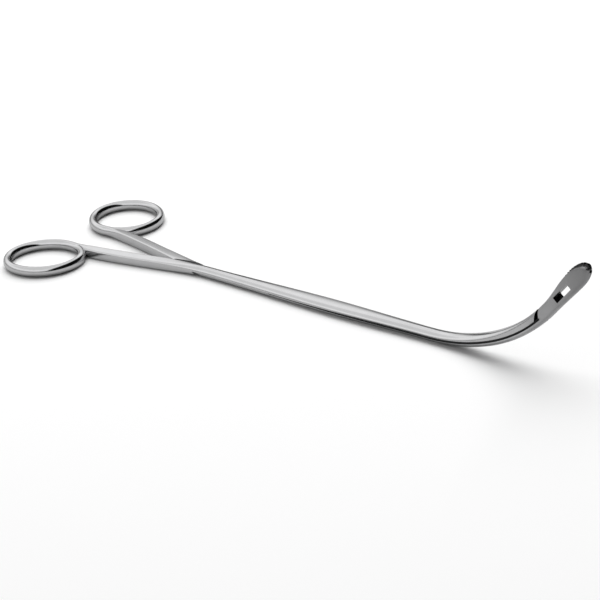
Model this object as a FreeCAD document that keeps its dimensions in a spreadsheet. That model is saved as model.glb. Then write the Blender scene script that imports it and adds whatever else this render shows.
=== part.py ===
# Kidney stone forceps: two crossing halves of forged steel and the joint screw that holds them.
# X runs along the shaft from the finger rings to the jaws, Y is across it and Z is up.
# The origin is on the pivot axis, in the plane that the closed forceps lie on.
import FreeCAD, Part
import math
import os

Vector = FreeCAD.Vector
doc = FreeCAD.newDocument("kidney_stone_forceps")

# Driving dimensions, in millimetres and degrees
DRIVING = (
    ("hole_length", 24.2, "finger hole, along its long axis"),
    ("hole_width", 18.6, "finger hole, across its long axis"),
    ("rim_width", 2.7, "finger ring section, across the rim"),
    ("rim_height", 3.5, "finger ring section, upwards"),
    ("ring_setback", 113.5, "pivot to ring centre, along the shaft"),
    ("ring_offset", 17.9, "shaft axis to ring centre, across the shaft"),
    ("ring_tilt", 9.0, "ring's long axis, turned towards the shaft"),
    ("shank_lead", 16.5, "how far the shank runs on in line with its ring"),
    ("shank_swell", 1.4, "how far the shank swings out over that lead"),
    ("root_sink", 0.3, "shank's root below the surface of the rim"),
    ("shank_width", 3.4, "shank across, halfway to the shaft"),
    ("meet_setback", 54.0, "pivot to where a shank lies in line with the shaft"),
    ("meet_lead", 12.0, "length over which the shank straightens before that"),
    ("layer_lead", 5.0, "where a half thins to its layer, back from where the shanks lie in line"),
    ("layer_height", 1.5, "each half's layer in the straight shaft"),
    ("lap_gap", 0.06, "running gap between the two layers at the joint screw"),
    ("lap_gap_end", 0.2, "gap between the two layers where the jaws begin"),
    ("meet_width", 3.9, "shaft across, where the shanks meet"),
    ("pivot_width", 5.9, "shaft across, at the joint screw"),
    ("bend_width", 4.4, "shaft across, where the bend starts"),
    ("corner_radius", 0.7, "rounding along the outer edges of the shanks and the shaft"),
    ("jaw_rounding", 1.25, "rounding along the outer edges of the jaws"),
    ("bend_setoff", 40.2, "pivot to the start of the bend"),
    ("bend_radius", 63.5, "radius of the bend"),
    ("bend_angle", 45.0, "how far the jaws turn up"),
    ("notch_height", 3.9, "both layers together, where the jaws begin"),
    ("jaw_height", 5.6, "jaw across at its widest, in the plane of the bend"),
    ("jaw_sag", 0.5, "middle of the jaws' root, out past the bend's middle line"),
    ("jaw_pair_width", 3.3, "both jaws together, across the shaft"),
    ("jaw_length", 21.0, "straight part of the jaws"),
    ("swell_setback", 21.0, "jaw tip to where the jaws start to widen"),
    ("tip_length", 6.5, "rounded end of the jaws"),
    ("tip_thinning", 0.5, "both jaws together at the very tip, less than behind it"),
    ("jaw_gap", 0.06, "gap between the closed jaws"),
    ("lower_layer_end", 1.45, "lower layer's height where the jaws begin"),
    ("notch_setback", 6.9, "end of the bend back to the foot of a layer's end face"),
    ("notch_width", 2.2, "foot of a layer's end face to the foot of the other jaw"),
    ("end_lean", 57.0, "layer's end face, leaning forward"),
    ("shoulder_lean", 42.0, "jaw's facing shoulder, leaning forward"),
    ("window_length", 7.1, "opening through the jaws, along them"),
    ("window_height", 1.6, "opening through the jaws, across them"),
    ("window_setback", 9.1, "jaw tip to the opening"),
    ("window_drop", 0.5, "middle of the opening below the middle of the jaw"),
    ("tooth_pitch", 1.1, "jaw serration, tooth to tooth"),
    ("tooth_height", 0.5, "jaw serration, root to crest"),
    ("shank_clearance", 0.12, "gap beside a shank that crosses the other"),
    ("screw_radius", 1.2, "joint screw's shank"),
    ("screw_head_radius", 2.0, "joint screw's countersunk head"),
    ("screw_head_height", 0.7, "joint screw's countersunk head"),
    ("screw_clearance", 0.04, "running fit of the lower half on the screw"),
    ("head_recess", 0.08, "screw head above the plane of the underside"),
    ("slot_width", 0.5, "screwdriver slot"),
    ("slot_depth", 0.35, "screwdriver slot"),
    ("grinding", 0.05, "ground off the straight shaft's underside to make it flat"),
)
sheet = doc.addObject("Spreadsheet::Sheet", "sizes")
for row, (alias, value, note) in enumerate(DRIVING, start=1):
    sheet.set(f"A{row}", note)
    sheet.set(f"B{row}", str(value))
    sheet.setAlias(f"B{row}", alias)
doc.recompute()


def size(alias):
    return float(sheet.get(alias))


def lean(alias):
    """Slope of a face that leans forward by the named angle."""
    return math.tan(math.radians(size(alias)))


# Directions across and up the shaft, and a length that runs clear past the whole section
ACROSS = Vector(0, -1, 0)
UP = Vector(0, 0, 1)
clear_past = 2 * (size("pivot_width") + size("jaw_height"))

# The shaft's two layers lie one on the other, with the running gap between them
shaft_height = 2 * size("layer_height") + size("lap_gap")
shaft_middle = shaft_height / 2

# Distances along the middle line, counted from the start of the bend
bend_angle = math.radians(size("bend_angle"))
bend_run = size("bend_radius") * bend_angle
tip_run = bend_run + size("jaw_length")
full_run = tip_run - size("tip_length")
notch_run = bend_run - size("notch_setback")
swell_run = tip_run - size("swell_setback")
window_run = tip_run - size("window_setback") - size("window_length")


def blend(start, end, share):
    """Value between start and end, with a smooth start and finish."""
    share = min(max(share, 0.0), 1.0)
    return start + (end - start) * share * share * (3 - 2 * share)


def in_bend(run, rise, y=0.0):
    """Point at that run along the middle line and that rise above it, on the bend and the jaws."""
    radius = size("bend_radius")
    turned = min(max(run / radius, 0.0), bend_angle)
    extra = run - radius * turned
    x = size("bend_setoff") + radius * math.sin(turned) + extra * math.cos(turned)
    z = shaft_middle + radius * (1 - math.cos(turned)) + extra * math.sin(turned)
    return Vector(x - rise * math.sin(turned), y, z + rise * math.cos(turned))


def rounding_at(run):
    """Share of the jaw's full height that the rounded tip leaves at that run."""
    past = max(run - full_run, 0.0) / size("tip_length")
    return math.sqrt(1 - past * past)


def height_at(run):
    """Both layers together, or the jaws, in the plane of the bend."""
    if run < notch_run:
        return blend(shaft_height, size("notch_height"), run / notch_run)
    share = (run - swell_run) / (full_run - swell_run)
    return blend(size("notch_height"), size("jaw_height"), share) * rounding_at(run)


def sag_at(run):
    """How far the middle of the section lies out past the bend's middle line."""
    if run < notch_run:
        return blend(0.0, size("jaw_sag"), run / notch_run)
    return blend(size("jaw_sag"), 0.0, (run - swell_run) / (full_run - swell_run))


def width_at(run):
    """Both halves across the shaft, on the bend and the jaws."""
    start = notch_run / 2
    width = blend(size("bend_width"), size("jaw_pair_width"), (run - start) / (full_run - start))
    return width - size("tip_thinning") * (1 - rounding_at(run))


def lap_at(run, layer):
    """Rise above the middle line of the lap face of the upper (+1) or lower (-1) layer."""
    share = run / notch_run
    end = size("lower_layer_end") - size("notch_height") / 2 - size("jaw_sag")
    return blend(0.0, end, share) + layer * blend(size("lap_gap"), size("lap_gap_end"), share) / 2


# Sections of the forged blanks: rounded rectangles, and plain ones for the room cut out of them
def rounded_section(middle, across, upward, width, low, high, rounding):
    """Closed wire of a rounded rectangle, from low to high along upward."""
    radius = min(rounding, 0.48 * width, 0.48 * (high - low))
    slant = radius * math.sqrt(0.5)
    edges = []
    joint = None
    for out, up in ((1, -1), (1, 1), (-1, 1), (-1, -1)):
        centre = middle + across * (out * (width / 2 - radius))
        centre += upward * (high - radius if up > 0 else low + radius)
        side = centre + across * (out * radius)
        end = centre + upward * (up * radius)
        between = centre + across * (out * slant) + upward * (up * slant)
        first, last = (end, side) if out * up < 0 else (side, end)
        if joint is None:
            start = first
        else:
            edges.append(Part.LineSegment(joint, first).toShape())
        edges.append(Part.Arc(first, between, last).toShape())
        joint = last
    edges.append(Part.LineSegment(joint, start).toShape())
    return Part.Wire(edges)


def plain_section(middle, across, upward, width, low, high):
    """Closed wire of a rectangle, from low to high along upward."""
    side = across * (width / 2)
    corners = [middle + side + upward * low, middle + side + upward * high]
    corners += [middle - side + upward * high, middle - side + upward * low]
    return Part.makePolygon(corners + corners[:1])


def shank_line(side):
    """Middle line in plan of the shank on that side (+1 or -1), from its ring to the shaft's axis."""
    reach = size("hole_width") / 2 + size("rim_width") / 2
    foot = Vector(-size("ring_setback"), side * (size("ring_offset") - reach), 0)
    lead = foot + Vector(size("shank_lead"), side * size("shank_swell"), 0)
    meet = Vector(-size("meet_setback"), 0, 0)
    curve = Part.BezierCurve()
    curve.setPoles([foot, lead, meet - Vector(size("meet_lead"), 0, 0), meet])
    return curve


def shank_width_at(share):
    """Shank across, at that share of the way from its ring to the shaft."""
    if share < 0.4:
        return blend(size("rim_width"), size("shank_width"), share / 0.4)
    return blend(size("shank_width"), size("meet_width"), (share - 0.4) / 0.6)


def sideways(line, share):
    """Level direction square to a plan curve."""
    return line.tangent(share)[0].cross(UP)


def shank_sections(side):
    """Rounded sections of a shank: its root lies inside the rim, and its end reaches the shaft."""
    line = shank_line(side)
    sections = []
    for share in (0, 0.12, 0.25, 0.4, 0.55, 0.7, 0.85):
        sunk = blend(size("root_sink"), 0.0, share / 0.25)
        top = blend(size("rim_height"), shaft_height, share) - sunk
        width = shank_width_at(share) - 2 * sunk
        across = sideways(line, share)
        rounding = size("corner_radius")
        sections.append(rounded_section(line.value(share), across, UP, width, sunk, top, rounding))
    return sections


def straight_sections():
    """Rounded sections of the straight shaft, from where the shanks meet to the bend."""
    stretches = (
        (-size("meet_setback"), 0.0, "meet_width", "pivot_width", (0, 0.25, 0.5, 0.75)),
        (0.0, size("bend_setoff"), "pivot_width", "bend_width", (0, 0.25, 0.5, 0.75, 0.9)),
    )
    sections = []
    for begin, end, first, last, shares in stretches:
        for share in shares:
            middle = Vector(begin + (end - begin) * share, 0, 0)
            width = blend(size(first), size(last), share)
            low = 0.0 if share in (0, 0.9) and begin + end else -size("grinding")
            rounding = size("corner_radius")
            sections.append(rounded_section(middle, ACROSS, UP, width, low, shaft_height, rounding))
    return sections


def bend_sections():
    """Rounded sections of the bend and of the jaws, closer together round the tip."""
    steps = 11
    runs = [full_run * step / steps for step in range(steps + 1)]
    runs += [full_run + size("tip_length") * math.sin(math.radians(turn)) for turn in (17, 34, 50, 64, 76, 84)]
    sections = []
    for run in runs:
        middle = in_bend(run, 0)
        upward = in_bend(run, 1) - middle
        low = -sag_at(run) - height_at(run) / 2
        high = low + height_at(run)
        rounding = blend(size("corner_radius"), size("jaw_rounding"), run / swell_run)
        sections.append(rounded_section(middle, ACROSS, upward, width_at(run), low, high, rounding))
    return sections


def feature(name, shape):
    made = doc.addObject("Part::Feature", name)
    made.Shape = shape
    return made


def box(name, length, width, height):
    """Box whose three sizes are expressions over the sheet."""
    made = doc.addObject("Part::Box", name)
    for side, expression in (("Length", length), ("Width", width), ("Height", height)):
        made.setExpression(side, expression)
    return made


def side_prism(pieces):
    """Prism right across the forceps. Its outline in the XZ plane is corners, and curves of points."""
    edges = []
    for piece, following in zip(pieces, pieces[1:] + pieces[:1]):
        if len(piece) > 1:
            curve = Part.BSplineCurve()
            curve.interpolate(piece)
            edges.append(curve.toShape())
        edges.append(Part.LineSegment(piece[-1], following[0]).toShape())
    face = Part.Face(Part.Wire(edges))
    face.translate(ACROSS * clear_past)
    return face.extrude(ACROSS * (-2 * clear_past))


def crossing_room(name, side, layer):
    """Room in one half for the other's shank, on that side and in the upper or lower layer."""
    line = shank_line(side)
    face = shaft_middle - layer * size("lap_gap") / 2
    low, high = sorted((face, face + layer * clear_past))
    sections = []
    for share in (0.25, 0.4, 0.55, 0.7, 0.85, 1):
        width = shank_width_at(share) + 2 * size("shank_clearance")
        sections.append(plain_section(line.value(share), sideways(line, share), UP, width, low, high))
    return feature(name, Part.makeLoft(sections, True, False))


# Directions along and square to the straight jaws, from the end of the bend
jaw_root = in_bend(bend_run, 0)
AHEAD = in_bend(bend_run + 1, 0) - jaw_root
LIFT = in_bend(bend_run, 1) - jaw_root


def layer_room(name, layer):
    """Room in one half for the other's upper (+1) or lower (-1) layer, up to its own jaw's shoulder."""
    steps = 8
    runs = [(notch_run + size("notch_width")) * step / steps for step in range(steps + 1)]
    lap = [in_bend(run, lap_at(run, -layer)) for run in runs]
    shoulder = lap[-1] + LIFT * (layer * clear_past) + AHEAD * (clear_past * lean("shoulder_lean"))
    back = Vector(-size("meet_setback") - size("layer_lead"), 0, lap[0].z)
    outer = back.z + layer * clear_past
    corners = [[shoulder], [Vector(shoulder.x, 0, outer)], [Vector(back.x, 0, outer)], [back]]
    return feature(name, side_prism([lap] + corners))


def jaw_room(name, side, layer):
    """Room in one half for the other's jaw on that side, from the end of the half's own layer."""
    far = size("jaw_length") + clear_past
    foot = in_bend(notch_run, lap_at(notch_run, layer))
    end = foot + LIFT * (layer * clear_past) + AHEAD * (clear_past * lean("end_lean"))
    behind = foot - LIFT * (layer * clear_past)
    ahead_of_layer = side_prism([[foot], [end], [end + AHEAD * far], [behind + AHEAD * far], [behind]])
    split = side * size("jaw_gap") / -2
    first = window_run - bend_run
    line = [(-clear_past, split), (first, split)]
    for tooth in range(int((tip_run - window_run) / size("tooth_pitch"))):
        for share, height in ((0.25, 0.5), (0.75, -0.5)):
            place = first + (tooth + share) * size("tooth_pitch")
            line.append((place, split + height * size("tooth_height")))
    line += [(far, split), (far, side * clear_past), (-clear_past, side * clear_past)]
    base = jaw_root - LIFT * clear_past
    corners = [base + AHEAD * place - ACROSS * y for place, y in line]
    beside = Part.Face(Part.makePolygon(corners + corners[:1])).extrude(LIFT * (2 * clear_past))
    return feature(name, beside.common(ahead_of_layer))


def window(name):
    """Opening through both jaws."""
    made = box(name, "sizes.window_length", "2 * sizes.pivot_width", "sizes.window_height")
    corner = in_bend(window_run, -size("window_drop") - size("window_height") / 2)
    turn = FreeCAD.Rotation(ACROSS, size("bend_angle"))
    made.Placement = FreeCAD.Placement(corner + ACROSS * size("pivot_width"), turn)
    return made


def ground(name):
    """What is ground off the underside of the straight shaft."""
    made = box(name, "sizes.meet_setback + sizes.bend_setoff", "2 * sizes.pivot_width", "sizes.layer_height")
    made.setExpression("Placement.Base.x", "-sizes.meet_setback")
    made.setExpression("Placement.Base.y", "-sizes.pivot_width")
    made.setExpression("Placement.Base.z", "-sizes.layer_height")
    return made


def finger_ring(name, side):
    """Oval section swept round an oval path, lying on the plane of the underside."""
    path = doc.addObject("Part::Ellipse", name + "_path")
    path.setExpression("MajorRadius", "sizes.hole_length / 2 + sizes.rim_width / 2")
    path.setExpression("MinorRadius", "sizes.hole_width / 2 + sizes.rim_width / 2")
    section = doc.addObject("Part::Ellipse", name + "_section")
    section.setExpression("MajorRadius", "sizes.rim_height / 2")
    section.setExpression("MinorRadius", "sizes.rim_width / 2")
    section.setExpression("Placement.Base.x", "sizes.hole_length / 2 + sizes.rim_width / 2")
    section.Placement.Rotation = FreeCAD.Rotation(UP, Vector(1, 0, 0), -ACROSS, "ZXY")
    swept = doc.addObject("Part::Sweep", name)
    swept.Sections = [section]
    swept.Spine = (path, ["Edge1"])
    swept.Solid = True
    place = Vector(-size("ring_setback"), side * size("ring_offset"), size("rim_height") / 2)
    swept.Placement = FreeCAD.Placement(place, FreeCAD.Rotation(UP, -side * size("ring_tilt")))
    return swept


def half(name, side, layer, holes):
    """Half whose ring and jaw are on opposite sides: ring and blank, less all the room in them."""
    sections = shank_sections(side) + straight_sections() + bend_sections()
    joined = doc.addObject("Part::Fuse", name + "_joined")
    joined.Base = feature(name + "_blank", Part.makeLoft(sections, True, False))
    joined.Tool = finger_ring(name + "_ring", side)
    rooms = doc.addObject("Part::MultiFuse", name + "_rooms")
    rooms.Shapes = holes + [
        crossing_room(name + "_crossing_room", -side, -layer),
        layer_room(name + "_layer_room", -layer),
        jaw_room(name + "_jaw_room", side, layer),
        window(name + "_window"),
        ground(name + "_ground"),
    ]
    made = doc.addObject("Part::Cut", name)
    made.Base = joined
    made.Tool = rooms
    return made


def cylinder(name, radius, height, bottom):
    made = doc.addObject("Part::Cylinder", name)
    made.setExpression("Radius", radius)
    made.setExpression("Height", height)
    made.setExpression("Placement.Base.z", bottom)
    return made


def cone(name, clearance):
    """Countersunk head of the joint screw, or its seat with the clearance added."""
    made = doc.addObject("Part::Cone", name)
    made.setExpression("Radius1", "sizes.screw_head_radius" + clearance)
    made.setExpression("Radius2", "sizes.screw_radius" + clearance)
    made.setExpression("Height", "sizes.screw_head_height")
    made.setExpression("Placement.Base.z", "sizes.head_recess")
    return made


# The joint screw: held fast in the upper half, while the lower half turns on it
SCREW_LENGTH = "2 * sizes.layer_height + sizes.lap_gap - sizes.head_recess"
THROUGH = "3 * sizes.layer_height"
CLEARANCE = " + sizes.screw_clearance"


def joint_screw():
    stock = doc.addObject("Part::Fuse", "screw_stock")
    stock.Base = cone("screw_head", "")
    stock.Tool = cylinder("screw_shank", "sizes.screw_radius", SCREW_LENGTH, "sizes.head_recess")
    slot = box("screw_slot", "4 * sizes.screw_head_radius", "sizes.slot_width", "sizes.slot_depth")
    slot.setExpression("Placement.Base.x", "-2 * sizes.screw_head_radius")
    slot.setExpression("Placement.Base.y", "-sizes.slot_width / 2")
    slot.setExpression("Placement.Base.z", "sizes.head_recess")
    made = doc.addObject("Part::Cut", "joint_screw")
    made.Base = stock
    made.Tool = slot
    return made


upper_holes = [cylinder("screw_hole", "sizes.screw_radius", THROUGH, "sizes.head_recess")]
lower_holes = [
    cylinder("running_hole", "sizes.screw_radius" + CLEARANCE, THROUGH, "sizes.head_recess"),
    cone("head_seat", CLEARANCE),
    cylinder("head_room", "sizes.screw_head_radius" + CLEARANCE, "2 * sizes.head_recess", "-sizes.head_recess"),
]
nodes = (
    half("upper_half", -1, 1, upper_holes),
    half("lower_half", 1, -1, lower_holes),
    joint_screw(),
)
doc.recompute()

for made in doc.Objects:
    if "Invalid" in made.State or "Error" in made.State:
        raise RuntimeError(made.Name + " wasn't built")
for node in nodes:
    if node.Shape.isNull() or not node.Shape.isValid() or len(node.Shape.Solids) != 1:
        raise RuntimeError(node.Label + " isn't one sound solid")
    print(node.Label, round(node.Shape.Volume, 2), "cubic millimetres")

os.makedirs("parts", exist_ok=True)
for node in nodes:
    node.Shape.exportStep(f"parts/{node.Label}.step")
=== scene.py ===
# %% [markdown]
# # Kidney stone forceps in polished steel
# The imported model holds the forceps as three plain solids: two forged halves and the screw that they turn on.
# This lesson dresses them. Each half is swept again as one bent bar with rounded sections, cut where the
# other half passes, and given a polished or satin steel finish. The model's frame is kept: its origin is on
# the joint's axis, in the plane of the underside, so every piece stands where its solid stands.

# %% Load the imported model
import bmesh
import bpy
import math
from mathutils import Matrix, Vector


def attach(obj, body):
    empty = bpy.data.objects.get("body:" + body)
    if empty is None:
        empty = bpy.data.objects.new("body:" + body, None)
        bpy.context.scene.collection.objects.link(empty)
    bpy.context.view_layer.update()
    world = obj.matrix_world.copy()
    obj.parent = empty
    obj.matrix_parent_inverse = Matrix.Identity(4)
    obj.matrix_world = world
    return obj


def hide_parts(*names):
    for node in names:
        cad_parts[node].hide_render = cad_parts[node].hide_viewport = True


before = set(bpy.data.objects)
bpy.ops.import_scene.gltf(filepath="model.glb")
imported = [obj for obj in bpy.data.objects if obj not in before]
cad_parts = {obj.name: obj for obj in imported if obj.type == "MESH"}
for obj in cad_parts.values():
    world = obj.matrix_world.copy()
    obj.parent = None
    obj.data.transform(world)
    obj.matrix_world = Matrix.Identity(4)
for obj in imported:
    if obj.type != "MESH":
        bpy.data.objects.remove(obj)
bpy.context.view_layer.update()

# %% [markdown]
# ## Camera
# The view comes from two angles round the joint, a distance and a long lens. A product shot like this one is
# taken from far away, so parallel edges stay nearly parallel. A small roll and shift place the forceps in the
# square frame. The camera could be dragged into place, but numbers are easier to correct one at a time.

# %% Place the camera
IMAGE_SIDE = 600
FOCAL_PIXELS, SHIFT_PIXELS = 2116, (-30.1, 6.1)
SENSOR = 36.0
NEAREST_SEEN = 0.01
SHAFT_MIDDLE = Vector((0, 0, 0.00153))
CAMERA_AZIMUTH = math.radians(47.7)
CAMERA_ELEVATION = math.radians(24.2)
CAMERA_ROLL = math.radians(-8.75)
CAMERA_DISTANCE = 0.6245


def put_in_scene(name, data):
    made = bpy.data.objects.new(name, data)
    bpy.context.scene.collection.objects.link(made)
    return made


towards_camera = Vector((
    math.cos(CAMERA_ELEVATION) * math.sin(CAMERA_AZIMUTH),
    -math.cos(CAMERA_ELEVATION) * math.cos(CAMERA_AZIMUTH),
    math.sin(CAMERA_ELEVATION),
))
level_right = Vector((math.cos(CAMERA_AZIMUTH), math.sin(CAMERA_AZIMUTH), 0))
level_up = towards_camera.cross(level_right)
right = level_right * math.cos(CAMERA_ROLL) + level_up * math.sin(CAMERA_ROLL)
up = level_up * math.cos(CAMERA_ROLL) - level_right * math.sin(CAMERA_ROLL)

camera_data = bpy.data.cameras.new("camera")
camera_data.sensor_width = SENSOR
camera_data.lens = FOCAL_PIXELS / IMAGE_SIDE * SENSOR
camera_data.shift_x = SHIFT_PIXELS[0] / IMAGE_SIDE
camera_data.shift_y = SHIFT_PIXELS[1] / IMAGE_SIDE
camera_data.clip_start = NEAREST_SEEN
camera = put_in_scene("camera", camera_data)
turn = Matrix((right, up, towards_camera)).transposed()
camera.matrix_world = Matrix.Translation(SHAFT_MIDDLE + towards_camera * CAMERA_DISTANCE) @ turn.to_4x4()
bpy.context.scene.camera = camera
bpy.context.scene.view_settings.view_transform = "Standard"
print("lens", round(camera_data.lens, 1), "mm")


# %% [markdown]
# ## Helpers for node trees
# Materials, the world and Geometry Nodes are all trees of nodes, which could be wired by hand in an editor.
# Here one short function adds a node, sets its properties and fills its sockets, either with a value or with
# a link from another node. Two more write a sum and a grey in one line each.

# %% Add a node, do a sum, write a grey
def add_node(tree, kind, sockets=None, **properties):
    made = tree.nodes.new(kind)
    for name, value in properties.items():
        setattr(made, name, value)
    for name, value in (sockets or {}).items():
        if isinstance(value, bpy.types.NodeSocket):
            tree.links.new(value, made.inputs[name])
        else:
            made.inputs[name].default_value = value
    return made


def maths(tree, operation, first, second=0.0, third=0.0, clamp=False):
    """Result of one Math node."""
    made = add_node(tree, "ShaderNodeMath", {0: first, 1: second, 2: third}, operation=operation)
    made.use_clamp = clamp
    return made.outputs[0]


def grey_of(level):
    return (level, level, level, 1)


# %% [markdown]
# ## Studio
# Polished steel has hardly any colour of its own: it shows the room. A photographer's tent is bright above
# and ends above the table, so the room stays dark just over the horizon. That dark band gives steel its black
# lines beside bright faces. A black flag on the camera's right lets the dark reach higher there and widens
# the lines, and on the left the tent comes a little lower. Lamps alone would only leave small white spots in
# the steel, so the whole room is painted on the world, as one row of greys by height.

# %% Paint the tent on the world
FLAG_TURN = math.radians(27)
FLAG_SLOPE, FLAG_START, FLAG_REACH = 2.8, -0.5, 0.85
LEFT_SLOPE, LEFT_START, LEFT_REACH = 1.6, -0.1, 0.16
TABLE_LEVEL, TOP_LEVEL = 0.004, 0.75
TENT_LEVELS = ((0.06, 0.01), (0.18, 0.2), (0.38, 0.78), (0.55, 1.0), (0.8, 0.75))


def facing(tree, direction, heading):
    """How far a direction looks along a heading, from -1 to 1."""
    made = add_node(tree, "ShaderNodeVectorMath", {0: direction, 1: heading}, operation="DOT_PRODUCT")
    return made.outputs["Value"]


world = bpy.data.worlds.new("studio")
world.use_nodes = True
sky = world.node_tree
sky.nodes.clear()
look = add_node(sky, "ShaderNodeTexCoord").outputs["Generated"]
front = Vector((math.sin(CAMERA_AZIMUTH), -math.cos(CAMERA_AZIMUTH), 0))
flag_side = level_right * math.cos(FLAG_TURN) + front * math.sin(FLAG_TURN)
beside = maths(sky, "MULTIPLY_ADD", facing(sky, look, flag_side), FLAG_SLOPE, FLAG_START, clamp=True)
opposite = maths(sky, "MULTIPLY_ADD", facing(sky, look, level_right), -LEFT_SLOPE, LEFT_START, clamp=True)
height = add_node(sky, "ShaderNodeSeparateXYZ", {"Vector": look}).outputs["Z"]
flagged = maths(sky, "MULTIPLY_ADD", beside, -FLAG_REACH, height)
lowered = maths(sky, "MULTIPLY_ADD", opposite, LEFT_REACH, flagged)
room = add_node(sky, "ShaderNodeValToRGB", {"Fac": lowered})
ramp = room.color_ramp
ramp.elements[0].color = grey_of(TABLE_LEVEL)
ramp.elements[1].color = grey_of(TOP_LEVEL)
for place, level in TENT_LEVELS:
    ramp.elements.new(place).color = grey_of(level)
print("room of", len(ramp.elements), "greys")

# %% [markdown]
# ## Who sees the tent
# Only the steel's reflections see the tent at full strength. As light on surfaces it counts for half, so that
# the large softbox above and behind still gives the forceps a soft shadow where they touch the floor. The
# softbox itself stays out of the reflections. The camera sees plain white behind everything.

# %% Share out the light
TENT_AS_LIGHT = 0.5
path = add_node(sky, "ShaderNodeLightPath")
tent_strength = maths(sky, "MULTIPLY_ADD", path.outputs["Is Glossy Ray"], 1 - TENT_AS_LIGHT, TENT_AS_LIGHT)
tent = add_node(sky, "ShaderNodeBackground", {"Color": room.outputs["Color"], "Strength": tent_strength})
plain = add_node(sky, "ShaderNodeBackground", {"Color": grey_of(1), "Strength": 1.0})
choice = add_node(sky, "ShaderNodeMixShader", {
    0: path.outputs["Is Camera Ray"], 1: tent.outputs[0], 2: plain.outputs[0],
})
add_node(sky, "ShaderNodeOutputWorld", {"Surface": choice.outputs[0]})
bpy.context.scene.world = world

LAMP_PLACE, LAMP_SIZE, LAMP_POWER = Vector((-0.5, 0.7, 1.3)), 1.9, 34
lamp_data = bpy.data.lights.new("softbox_above", "AREA")
lamp_data.size = LAMP_SIZE
lamp_data.energy = LAMP_POWER
lamp = put_in_scene("softbox_above", lamp_data)
lamp.location = LAMP_PLACE
lamp.rotation_euler = (SHAFT_MIDDLE - LAMP_PLACE).to_track_quat("-Z", "Y").to_euler()
lamp.visible_glossy = False
print("softbox of", LAMP_SIZE, "m,", LAMP_POWER, "W")

# %% [markdown]
# ## Floor
# The floor is a plain pale sheet. The camera sees it white, and everything else, also the steel's
# reflections, sees a greyer sheet, as if it ended in the dim room beyond the photographer's table. More light
# would make it white too, but it would wash out the steel's undersides.

# %% Lay the floor
FLOOR_SIZE = 6.0
FLOOR_SEEN, FLOOR_REFLECTED = 0.95, 0.5
floor_mesh = bpy.data.meshes.new("floor")
floor_draft = bmesh.new()
bmesh.ops.create_grid(floor_draft, x_segments=1, y_segments=1, size=FLOOR_SIZE / 2)
floor_draft.to_mesh(floor_mesh)
floor_draft.free()
floor = put_in_scene("floor", floor_mesh)
paper = bpy.data.materials.new("floor_paper")
paper.use_nodes = True
sheet = paper.node_tree
sheet.nodes.clear()
path = add_node(sheet, "ShaderNodeLightPath")
white = add_node(sheet, "ShaderNodeBsdfDiffuse", {"Color": grey_of(FLOOR_SEEN)})
grey = add_node(sheet, "ShaderNodeBsdfDiffuse", {"Color": grey_of(FLOOR_REFLECTED)})
seen = add_node(sheet, "ShaderNodeMixShader", {
    0: path.outputs["Is Camera Ray"], 1: grey.outputs[0], 2: white.outputs[0],
})
add_node(sheet, "ShaderNodeOutputMaterial", {"Surface": seen.outputs[0]})
floor_mesh.materials.append(paper)
print("floor", FLOOR_SIZE, "m wide")

# %% [markdown]
# ## Sizes
# The sizes below are the forceps' own, in millimetres, as its maker would write them on a drawing. The straight
# shaft lies along X, and the jaws turn up at its end. Lengths along the bend and the jaws are called runs, and
# they start where the bend starts.

# %% Write down the rings, the shanks and the shaft
MM = 0.001
UP = Vector((0, 0, 1))
ACROSS = Vector((0, -1, 0))

RIM_WIDTH, RIM_HEIGHT = 2.7, 3.5
HOLE_LENGTH, HOLE_WIDTH = 24.2, 18.6
RING_SETBACK, RING_OFFSET = 113.5, 17.9
RING_TILT = math.radians(9)
LOOP_START = math.radians(-66)
LOOP_END = math.radians(287.3)

SHANK_LEAD, SHANK_WIDTH, SHANK_SWELL = 14.0, 3.4, 0.4
MEET_SETBACK, MEET_LEAD, LAYER_LEAD = 54.0, 12.0, 5.0
LAYER_HEIGHT, LAP_GAP = 1.5, 0.06
MEET_WIDTH, PIVOT_WIDTH, BEND_WIDTH = 3.9, 5.9, 4.4
SHAFT_HEIGHT = 2 * LAYER_HEIGHT + LAP_GAP
print("finger holes", HOLE_LENGTH, "by", HOLE_WIDTH, "mm, shaft", SHAFT_HEIGHT, "mm high")

# %% Write down the bend and the jaws
BEND_SETOFF, BEND_RADIUS, BEND_ANGLE = 40.2, 63.5, math.radians(45)
NOTCH_HEIGHT, JAW_HEIGHT, JAW_SAG = 3.9, 5.6, 0.5
JAW_ROUNDING, JAW_PAIR_WIDTH, TIP_THINNING = 1.25, 3.3, 0.5
BEND_RUN = BEND_RADIUS * BEND_ANGLE
TIP_RUN = BEND_RUN + 21.0
TIP_LENGTH = 6.5
FULL_RUN = TIP_RUN - TIP_LENGTH
NOTCH_RUN = BEND_RUN - 6.9
SWELL_RUN = TIP_RUN - 21.0
LOWER_LAYER_END = 1.45
NOTCH_WIDTH = 2.2
END_LEAN, SHOULDER_LEAN = math.tan(math.radians(57)), math.tan(math.radians(42))
WINDOW_LENGTH, WINDOW_HEIGHT, WINDOW_DROP = 7.1, 1.6, 0.5
WINDOW_RUN = TIP_RUN - 9.1 - WINDOW_LENGTH
WINDOW_RELIEF = 0.25
TOOTH_PITCH, TOOTH_HEIGHT = 1.1, 0.5
SHANK_CLEARANCE = 0.12
CLEAR = 20.0
print("bend", round(BEND_RUN, 1), "mm, tip at", round(TIP_RUN, 1), "mm along it")


# %% [markdown]
# ## Shape rules
# Between two named sizes the bar changes smoothly, as a forging does. A drawn curve for each size would be
# hard to keep in step with the others, so these rules say how high, how wide and how rounded the bar is at
# each run.

# %% Follow the bend
def blend(start, end, share):
    share = min(max(share, 0.0), 1.0)
    return start + (end - start) * share * share * (3 - 2 * share)


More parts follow.
